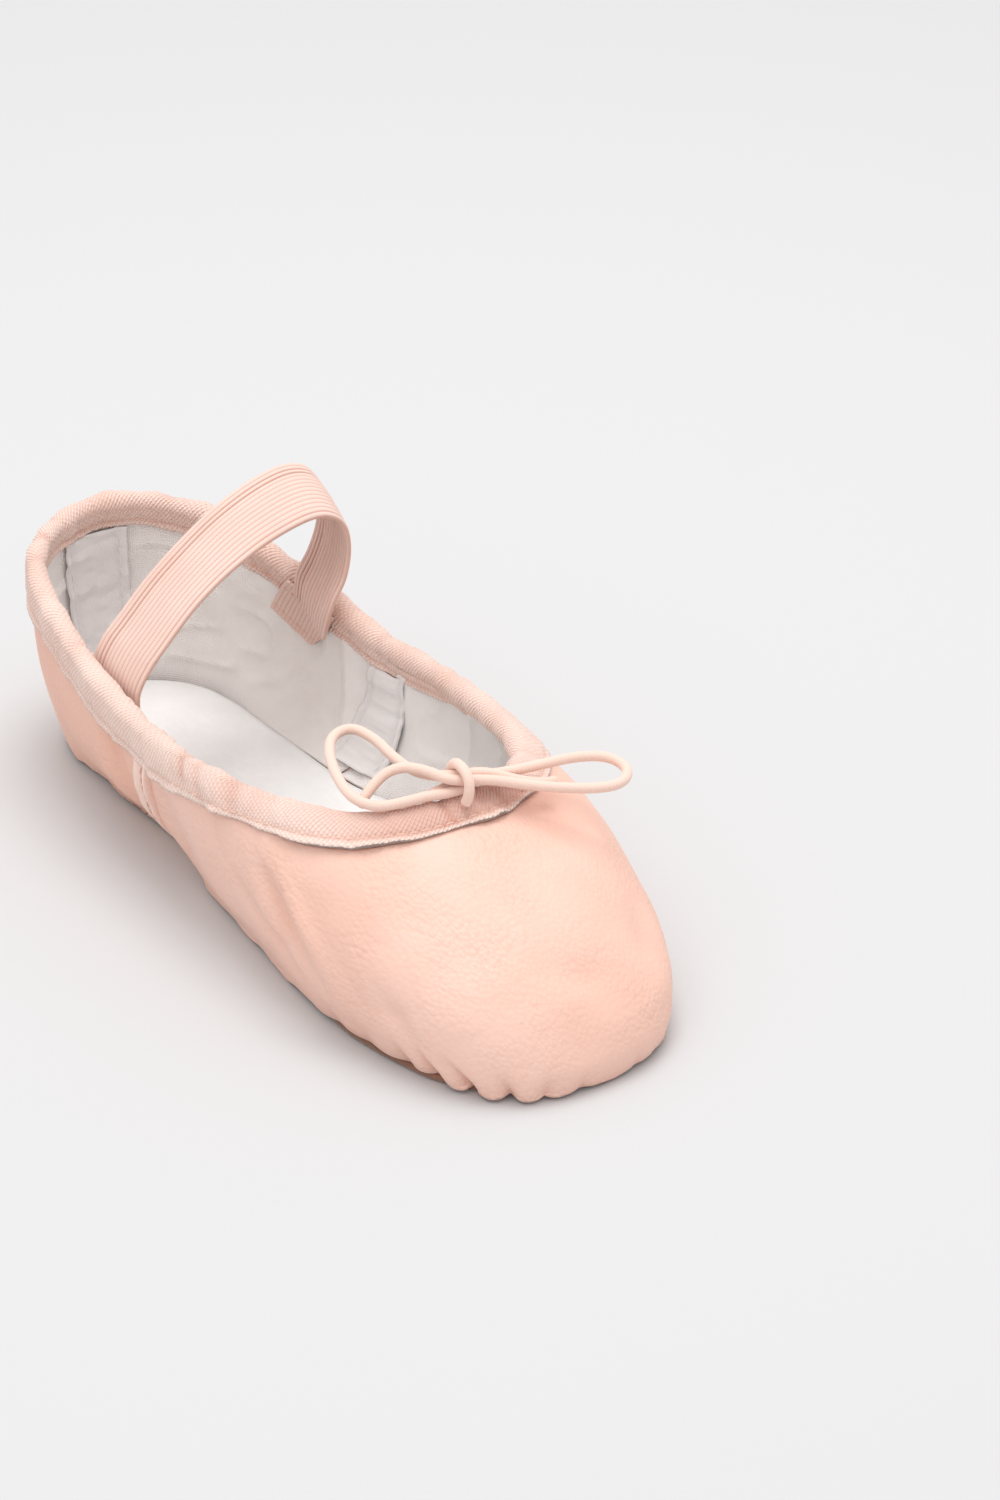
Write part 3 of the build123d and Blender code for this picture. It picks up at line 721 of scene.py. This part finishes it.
def quarter_folds(point, u, v):
    """Soft creases of a quarter, and an upright fold just behind its seam."""
    soft = 0.35 * noise(point, 18.0, 11) + 0.12 * noise(point, 7.0, 12)
    place = np.abs(u) - 0.25 * (v - 0.5)
    upright = -1.9 * bump_at(place, 5.40, 0.11) + 0.9 * bump_at(place, 5.66, 0.14)
    return (soft + upright * bump_at(v, 0.5, 0.32)) * np.clip(v * 5, 0.1, 1) * np.clip((0.9 - v) * 6, 0, 1)


def bare_sole(u):
    """1 where the leather ends clear of the floor and the suede's edge shows."""
    side = np.abs(u)
    return 1 / (1 + np.exp(-(side - BARE_FROM) / 0.07)) / (1 + np.exp((side - BARE_TO) / 0.1))


SOLE_DRAW = 0.9                   # the share of the waist that the suede follows
TOE_CLEARANCE = 3.5               # how far the suede stops short under the toe's gathers


def short_toe(u):
    """1 at the toe's tip, falling to 0 round its sides."""
    return np.maximum(0, 1 - np.abs(u) / 1.4) ** 0.5


def waist(u):
    """How far the leather and the suede draw in under the arch, behind the side seams."""
    side = np.abs(u)
    return 4.6 / (1 + np.exp(-(side - 4.88) / 0.07)) * np.exp(-(np.maximum(side - 5.2, 0) / 1.5) ** 3)


def drawn_in(u, v):
    """The same on the wall, fading out upwards."""
    return waist(u) * np.clip(1 - v / 0.42, 0, 1) ** 1.5


def slanted(u, v):
    """Lean the side seams, forwards at the topline and back at the sole."""
    return u + np.sign(u) * 0.5 * (0.42 - v) * bump_at(np.abs(u), SEAM_U, 0.8)


def leather_panel(name, us, rows, shape, material, pleated=False):
    """One panel of leather, its margin turned in over the outsole."""
    v = upper_rows(us, EDGE_DROP, rows)
    u = slanted(us[:, None], v)
    wall = outer(u, v)
    push = shape(wall, u, v)
    climb = travelled(wall, axis=1)
    dark = np.zeros_like(climb)
    if pleated:
        gathered, dark = pleats(u, climb)
        push = push + gathered
    away = np.abs(us)[:, None]
    push = push * np.clip(np.abs(away - SEAM_U) / 0.25, 0, 1) * np.clip((HEEL_U - away) / 0.2, 0, 1)
    push = push - drawn_in(u, v)
    lean = outward(u, v)
    lean[..., 2] *= np.clip(climb / 3, 0, 1)
    wall = wall + unit(lean) * push[..., None]
    hang = 1.05 * (1 - bare_sole(us)) * (1 + 0.3 * noise(us[:, None] * 6, 1.0, 8))
    hang = np.clip(hang - 0.5 * np.maximum(-push[:, 0], 0), 0, 1.4)
    wall[..., 2] -= hang[:, None] * np.exp(-(climb / 2.2) ** 2)
    insets = np.array((7.5, 5.5, 3.5, 1.9, 0.95, 0.4))
    foot, out = sole_edge(np.repeat(u[:, :1], len(insets), 1), np.broadcast_to(insets, (len(us), 6)))
    share = np.exp(-insets / 3.0)
    tuck = push[:, :1] * share[None, :]
    level = np.full(foot.shape[:2] + (1,), LEATHER_BASE + 0.1)
    margin = np.concatenate([foot + out * tuck[..., None], level], -1)
    margin[..., 2] -= hang[:, None] * np.exp(-(insets / 0.55) ** 2)
    # The pleats' painted crease shade carries on down the turned-in margin.
    shade = np.concatenate([np.repeat(dark[:, :1], len(insets), 1), dark], 1)
    return sheet_piece(name, np.concatenate([margin, wall], 1), LEATHER, material, shade=shade)


def leather():
    gap = 0.001
    us = np.linspace(-SEAM_U + gap, SEAM_U - gap, 560)
    vamp = leather_panel("vamp", us, 104, folds, LEATHER_PINK, pleated=True)
    across_flex(vamp)
    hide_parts("vamp_toe", "vamp_crease", "vamp_rear")
    for side, name in ((1, "left"), (-1, "right")):
        us = np.linspace(*sorted((side * (SEAM_U + gap), side * (HEEL_U - gap))), 170)
        piece = leather_panel(f"quarter_leather_{name}", us, 64, quarter_folds, SHADED_QUARTER_PINK)
        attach(piece, "rearfoot")
        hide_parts(f"quarter_{name}")


leather()


def lining_push(point, u, v):
    """Slack cotton, standing in from the leather and clear of its dents."""
    slack = 0.9 * np.abs(noise(point * (1, 1, 0.6), 13.0, 21)) + 0.35 * noise(point, 5.5, 22)
    pulled = 0.7 * np.maximum(0, 1 - np.abs(noise(point * (0.5, 1.1, 1.3), 9.0, 23)) * 5)
    dents = np.where(np.abs(u) < SEAM_U, folds(point, u, v), quarter_folds(point, u, v))
    dents = dents - drawn_in(u, v)
    return (slack + pulled) * np.clip(v * 4, 0.1, 1) * np.clip((0.86 - v) * 7, 0, 1) + np.maximum(0, -dents)


def lining_panel(name, us, rows):
    """One panel of cotton, inside the leather."""
    v = below_top(us, EDGE_DROP)[:, None] * np.linspace(0.035, 1, rows)[None, :]
    u = slanted(us[:, None], v)
    depth = LEATHER + 0.15 + LINING + lining_push(outer(u, v), u, v)
    inner_face = skin(u, v, depth)
    return sheet_piece(name, inner_face[::-1], LINING * 0.8, COTTON)


def linings():
    gap = 0.01
    piece = lining_panel("vamp_lining", np.linspace(-SEAM_U + gap, SEAM_U - gap, 260), 60)
    across_flex(piece)
    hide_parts("vamp_lining_toe", "vamp_lining_crease", "vamp_lining_rear")
    for side, name in ((1, "left"), (-1, "right")):
        us = np.linspace(*sorted((side * (SEAM_U + gap), side * (HEEL_U - gap))), 120)
        piece = lining_panel(f"lining_{name}", us, 60)
        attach(piece, "rearfoot")
        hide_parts(f"quarter_lining_{name}")


linings()


THREAD_LIFT = 0.1                 # how far a stitch's middle stands off the cloth
WALL_HEIGHT = 45                  # about the length of v from 0 to 1


def strip_grid(u_middle, width, v_low, v_high, columns, rows):
    """A grid of (u, v) for a narrow strip up the skin, leaning with the side seams."""
    middle = (v_low + v_high) / 2
    per = np.linalg.norm(outer(u_middle + 0.01, middle) - outer(u_middle - 0.01, middle)) / 0.02
    u = u_middle + np.linspace(-0.5, 0.5, columns) * width / per
    u, v = np.meshgrid(u, np.linspace(v_low, v_high, rows), indexing="ij")
    return slanted(u, v), v


def seam_tapes():
    """Puckered cotton tapes over the side and heel seams inside, with a row of stitches down each edge."""
    for name, u_middle, width, low in (("side_seam_tape_left", SEAM_U, 13, 0.12),
                                       ("side_seam_tape_right", -SEAM_U, 13, 0.12),
                                       ("heel_seam_tape", HEEL_U, 16, 0.10)):
        high = below_top(u_middle, BINDING_DROP_INSIDE + 0.3)[0]
        u, v = strip_grid(u_middle, width, low, high, 28, 90)
        place = np.stack([u * 1.5, (v - low) * WALL_HEIGHT], -1)
        pucker = 0.75 * noise(place, 2.4, 31) + 0.25 * noise(place * (4, 1), 1.3, 32)
        row = np.abs(np.abs(np.linspace(-1, 1, 28)) - 0.76)[:, None]
        sewn = np.exp(-(row / 0.12) ** 2)
        face = skin(u, v, 2.9 + 0.35 * (1 - sewn) + pucker * (1 - 0.6 * sewn) * 0.8 + drawn_in(u, v))
        # Painted shade along the two stitched rows, which sit deeper in the tape.
        tape = sheet_piece(name + "_cotton", face[::-1], 0.45, TAPE, shade=(0.35 * sewn + 0 * v)[::-1])
        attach(tape, "rearfoot")
        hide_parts(name)
        for k, column in enumerate((3, 24)):
            path, normal = face[column, 3:-3], -outward(u[column], v[column])[3:-3]
            line = stitch_line(f"{name}_stitches_{k}", path + normal * THREAD_LIFT, normal, WHITE_THREAD,
                               pitch=2.6, length=2.0)
            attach(line, "rearfoot")


def seam_tabs():
    """A tab of leather over each side seam outside: two soft rolls with a stitched valley."""
    for side, name in ((1, "left"), (-1, "right")):
        middle = side * SEAM_U
        high = below_top(middle, BINDING_DROP - 0.4)[0]
        u, v = strip_grid(middle, 6.0, 0.12, high, 41, 90)
        place = np.linspace(-1, 1, 41)[:, None]
        low = np.clip((v - 0.2) / 0.35, 0.15, 1)
        rolls = 0.25 + (0.75 - 0.55 * np.cos(math.pi * place * 1.4)) * low
        wrinkle = 0.3 * noise(np.stack([u * 8, v * 30], -1), 2.5, 41) * low
        tuck = np.clip((np.abs(place) - 0.86) / 0.14, 0, 1) ** 1.5
        face = skin(u, v, -((rolls + wrinkle) * (1 - tuck) - 0.5 * tuck) + drawn_in(u, v))
        # Painted shade in the stitched valley and at the tucked edges, and a painted highlight along the
        # crowns of the two rolls.
        crease = 0.45 * bump_at(place, 0, 0.14) * low + 0.3 * tuck
        crease = crease - 0.3 * bump_at(np.abs(place), 0.5, 0.25) * low
        tab = sheet_piece(f"side_seam_tab_leather_{name}", face, 0.5, TAB_PINK, shade=crease + 0 * v)
        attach(tab, "rearfoot")
        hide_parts(f"side_seam_tab_{name}")
        for k, column in enumerate((16, 24)):
            normal = outward(u[column], v[column])
            path = face[column] + normal * THREAD_LIFT
            line = stitch_line(f"side_seam_tab_stitches_{name}_{k}", path, normal, THREAD,
                               pitch=2.3, length=1.8, width=0.4)
            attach(line, "rearfoot")


seam_tapes()
seam_tabs()


# ---- topline ----

def casing(u):
    """The middle of the casing at each u, with the directions out and up across it."""
    middle = (LEATHER + 0.1 + LINING) / 2
    rise = unit(outer(u, 1.0) - outer(u, 0.97))
    centre = skin(u, below_top(u, 2), middle) + rise * (2 - CASING_BORE / 2 - BINDING)
    return centre, outward(u, 1.0), rise


def binding_lines(us, thick):
    """The binding's outline at each u, from its outside hem over the casing to its inside hem."""
    middle = (LEATHER + 0.1 + LINING) / 2
    half = middle + BINDING_GAP + thick
    centre, out, rise = casing(us)
    lines = []
    for drop in np.linspace(BINDING_DROP, EDGE_DROP + 0.6, 9):
        lines.append(skin(us, below_top(us, drop), middle - half))
    for angle in np.radians(np.linspace(-24, 204, 17)):
        lines.append(centre + (out * math.cos(angle) + rise * math.sin(angle)) * (CASING_BORE / 2 + thick))
    for drop in np.linspace(EDGE_DROP + 0.6, BINDING_DROP_INSIDE, 8):
        lines.append(skin(us, below_top(us, drop), middle + half))
    return np.stack(lines, 1)


BINDING_TOP = 16                  # the line of the binding's outline that runs over its top


def binding():
    """Twill binding, puckered where it is gathered on the drawstring, with stitched hems."""
    us = np.linspace(-HEEL_U, HEEL_U, 1300)
    over = binding_lines(us, BINDING)
    under = binding_lines(us, 0.0)
    round_foot = travelled(over[:, BINDING_TOP])
    across = np.linspace(0, 1, over.shape[1])
    where = np.stack(np.broadcast_arrays(round_foot[:, None], across[None, :] * 16), -1)
    pucker = 0.30 * noise(where * (1, 0.2), 3.4, 51) + 0.16 * noise(where * (1, 0.35), 1.7, 52)
    pucker += 0.4 * noise(where * (0.4, 0.5), 6.0, 53)
    tight = bump_at(us, 0, 1.4) + 0.9 * bump_at(us, 6.6, 0.9) + 0.7 * bump_at(np.abs(us), HEEL_U, 1.3)
    tight += 0.9 * bump_at(us, -4.0, 1.2)
    # Painted shade over the throat and painted light along the right side, about u -4.6.
    throat_shade_side_light = 0.42 * bump_at(us, -0.4, 1.1)[:, None] - 0.3 * bump_at(us, -4.6, 2.0)[:, None]
    gather = (0.95 + 1.0 * tight)[:, None]
    sewn = (bump_at(across, 0.085, 0.028) + bump_at(across, 0.915, 0.028))[None, :]
    puff = 0.5 * (bump_at(across, 0.27, 0.12) + bump_at(across, 0.76, 0.11))[None, :]
    puff = puff - 0.9 * bump_at(np.abs(us), HEEL_U, 1.6)[:, None] * bump_at(across, 0.35, 0.22)[None]
    normals = grid_normals(over)
    normals = normals * np.sign(normals[0, BINDING_TOP, 2])
    joined = np.clip((HEEL_U - np.abs(us)) / 0.25, 0, 1)    # calm where the two ends meet at the heel
    gather = gather * joined[:, None]
    calm = 1 - 0.6 * sewn
    over = over + normals * (pucker * gather * calm + puff - 0.30 * sewn)[..., None]
    hem = 0.7 * noise(np.stack([round_foot, round_foot * 0], -1), 8.0, 55)
    hem += 0.14 * noise(np.stack([round_foot, round_foot * 0], -1), 2.6, 56)
    hem *= joined
    reach = np.clip(1 - across * 7, 0, 1) + 0.6 * np.clip(across * 7 - 6, 0, 1)
    down = unit(over[:, :1] - over[:, 3:4])
    slide = hem[:, None, None] * down
    over += slide * reach[None, :, None]
    under += slide * reach[None, :, None]
    # Painted shade in the hollows of the puckers.
    creased = np.clip(-pucker * gather - 0.22, 0, 1) * 0.9
    hem_edge = np.clip(1 - across * 14, 0, 1)[None] + 0.7 * np.clip(across * 14 - 13, 0, 1)[None]
    # Painted shade also along the sunk stitch lines; both hem edges are paler.
    shade = (creased + throat_shade_side_light) * (1 - hem_edge) + 0.25 * sewn - 0.6 * hem_edge
    # The binding's underside, wrapped against the topline, gets an even painted shade.
    shade = np.concatenate([shade, shade[:, ::-1] * 0 + 0.3], 1)
    loops = np.concatenate([over, under[:, ::-1]], 1)
    piece = loop_piece("topline_binding_twill", loops, TWILL, shade=shade)
    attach(piece, "rearfoot")
    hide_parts("topline_binding")
    for name, row in (("outside", 3), ("inside", over.shape[1] - 4)):
        path = over[:, row] + normals[:, row] * 0.05
        line = stitch_line(f"topline_stitches_{name}", path, normals[:, row], THREAD, thick=0.34)
        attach(line, "rearfoot")
        if name == "outside":
            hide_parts("topline_stitching")


binding()


# ---- strap ----

def through(points, count):
    """A smooth line through the given points, as count points."""
    p = np.array(points, float)
    p = np.vstack([2 * p[0] - p[1], p, 2 * p[-1] - p[-2]])
    t = np.linspace(0, len(p) - 3, count)
    i = np.minimum(t.astype(int), len(p) - 4)
    f = (t - i)[:, None]
    a, b, c, d = (p[i + k] for k in range(4))
    line = catmull_rom(a, b, c, d, f)
    for _ in range(40):
        line[1:-1] = 0.5 * line[1:-1] + 0.25 * (line[:-2] + line[2:])
    return line


def ribbed(base, facing, place, thick, groove):
    """The closed cross-sections of ribbed elastic about its middle surface."""
    wave = np.abs(np.sin(math.pi * place * STRAP_RIBS)) ** 0.6
    edge = np.clip((0.5 - np.abs(place)) / 0.02, 0, 1) ** 0.5
    half = (thick / 2 - 0.13 + 0.16 * wave - groove) * (0.45 + 0.55 * edge)
    top = base + facing * half[None, :, None]
    low = base - facing * half[None, :, None]
    return np.concatenate([top, low[:, ::-1]], 1)


def strap():
    """One length of ribbed elastic: an arch over the instep, with both ends folded and sewn inside."""
    front, rear = through(STRAP_FRONT, 420), through(STRAP_REAR, 420)
    place = np.linspace(-0.5, 0.5, STRAP_RIBS * 8 + 1)
    base = front[:, None] * (0.5 - place[None, :, None]) + rear[:, None] * (0.5 + place[None, :, None])
    even = travelled((front + rear) / 2)
    facing = unit(np.cross(np.gradient(base, axis=0), np.gradient(base, axis=1)))
    facing = facing * np.sign(facing[210, 56, 2])
    ripple = 0.16 * noise(np.stack(np.broadcast_arrays(even[:, None] * 0.5, place[None] * 8), -1), 5.0, 61)
    crown = 0.5 * (1 - (place[None] * 2) ** 2) * bump_at(even[:, None], even.mean() * 1.15, 35)
    base = base + facing * (ripple + crown)[..., None]
    deep = 0.8 * bump_at(place, 0.36, 0.012) + bump_at(place, 0.285, 0.012)
    deep = deep + 0.5 * bump_at(place, -0.43, 0.01)
    loops = ribbed(base, facing, place, 1.0, 0.3 * deep)
    across = np.concatenate([place, place[::-1]]) * STRAP_WIDTH
    uv = np.stack(np.broadcast_arrays(even[:, None], across[None]), -1)
    # Painted shade in the deepest grooves between the ribs.
    shade = np.broadcast_to(np.concatenate([deep, deep[::-1]]) * 0.75, uv.shape[:2])
    piece = loop_piece("elastic_strap_band", loops, ELASTIC, uv=uv, shade=shade)
    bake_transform(piece)
    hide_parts("elastic_strap", "strap_end_left", "strap_end_right")
    for side, name in ((1, "left"), (-1, "right")):
        strap_fold(side, name)


def strap_fold(side, name):
    """The end of the elastic, folded back at a slant and sewn flat against the lining."""
    low_heel, low_toe = (6.38, 0.66), (5.80, 0.575)
    top_heel, top_toe = ((6.10, 0.97), (5.50, 0.93)) if side > 0 else ((6.14, 0.90), (5.56, 0.83))
    along = np.linspace(0, 1, 40)[:, None, None]
    across = np.linspace(0, 1, STRAP_RIBS * 6 + 1)
    share = across[None, :, None]
    low = np.array(low_heel) * (1 - share) + np.array(low_toe) * share
    top = np.array(top_heel) * (1 - share) + np.array(top_toe) * share
    place = low * (1 - along) + top * along
    rounded = np.clip((across - 0.8) / 0.2, 0, 1)[None] ** 2.2 * (1 - np.clip(along[..., 0] / 0.4, 0, 1))
    u, v = side * place[..., 0], place[..., 1] + 0.07 * rounded
    base = skin(u, v, 2.9 + 1.3 * np.clip(along[..., 0] * 1.6 - 0.2, 0, 1) + 0 * u)
    facing = -outward(u, v)
    loops = ribbed(base, facing, across - 0.5, 0.9, 0 * across)
    both = np.concatenate([across, across[::-1]]) * STRAP_WIDTH
    uv = np.stack(np.broadcast_arrays(along[:, 0] * 9, both[None]), -1)
    fold = loop_piece(f"strap_fold_{name}", loops, ELASTIC, uv=uv)
    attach(fold, "rearfoot")
    for k, row in enumerate((5, 30)):
        path = base[row] + facing[row] * 0.5
        line = stitch_line(f"strap_stitches_{name}_{k}", path, facing[row], THREAD, pitch=2.4, width=0.4)
        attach(line, "rearfoot")


strap()


# ---- sole ----

def slab(name, inset, base, thick, material, rounding, toe_inset=0.0, crown=0.0, seed=71, bare=0.0, draw=0.5):
    """A flat layer with the sole's outline and rounded edges, as rings from the edge to the middle line."""
    us = np.linspace(-HEEL_U, HEEL_U, 541)[:-1]
    extra = toe_inset * short_toe(us) - bare * bare_sole(us) + draw * waist(us)
    edge, out = sole_edge(us, inset + extra)
    edge = edge + out * (0.12 * noise(np.stack([us * 8, us * 0], -1), 2.0, seed))[:, None]
    spine_y = np.clip(edge[:, 1], edge[:, 1].min() + 20, edge[:, 1].max() - 15)
    spine = np.stack([np.zeros(len(us)), spine_y], 1)
    shares = np.linspace(0, 1, 26) ** 1.3
    top, low = [], []
    for share in shares:
        plan = edge * (1 - share) + spine * share
        pull = rounding * max(0, 1 - share / 0.05)
        wave = 0.12 * noise(plan, 9.0, seed + 1) * min(1, share * 8)
        lift = crown * share
        top.append(np.column_stack([plan, base + thick - pull + lift + wave * (crown > 0)]))
        low.append(np.column_stack([plan, np.full(len(us), base + pull * (thick > 1))]))
    grid = np.stack(low[::-1] + top)
    rows, columns = grid.shape[:2]
    faces = grid_faces(rows, columns, closed_columns=True)
    uv = grid[..., :2].reshape(-1, 2)
    # The sock liner's top edge is darker: it stands for the insole's dark edge below it, and it is painted
    # shade in the gap at the lining.
    rim = np.zeros((rows, columns))
    rim[26:29] = 0.9
    piece = mesh_object(name, grid.reshape(-1, 3), faces, uv, material, rim if crown else None)
    across_flex(piece)
    return piece


def sole():
    outsole = slab("outsole", inset=1.5, base=0.0, thick=1.6, material=SUEDE, rounding=0.2,
                   toe_inset=TOE_CLEARANCE, bare=1.2, draw=SOLE_DRAW)
    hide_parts("outsole_toe", "outsole_heel")
    insole = slab("insole", inset=1.9, base=2.75, thick=2.3, material=FOAM, rounding=0.4, seed=74)
    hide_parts("insole_toe", "insole_heel")
    sock = slab("sock_liner", inset=2.2, base=5.15, thick=0.5, material=SOCK, rounding=0.2, crown=0.35,
                seed=77)
    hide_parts("sock_liner_toe", "sock_liner_heel")
    for node in ("sole_filler_toe", "sole_filler_heel", "drawstring_in_casing"):
        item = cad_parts[node]
        item.data.materials.clear()
        item.data.materials.append(CORD_PINK if node.startswith("draw") else FELT)
    us = np.linspace(-HEEL_U, HEEL_U, 1201)
    extra = TOE_CLEARANCE * short_toe(us) + SOLE_DRAW * waist(us)
    edge, _ = sole_edge(us, 4.7 + extra)
    path = np.column_stack([edge, np.full(len(us), 0.12)])
    normals = np.tile((0.0, 0.0, -1.0), (len(us), 1))
    line = stitch_line("sole_stitches", path, normals, THREAD, pitch=3.2, length=2.4, width=0.7, thick=0.35)
    across_flex(line)
    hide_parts("sole_stitching_toe", "sole_stitching_heel")


sole()
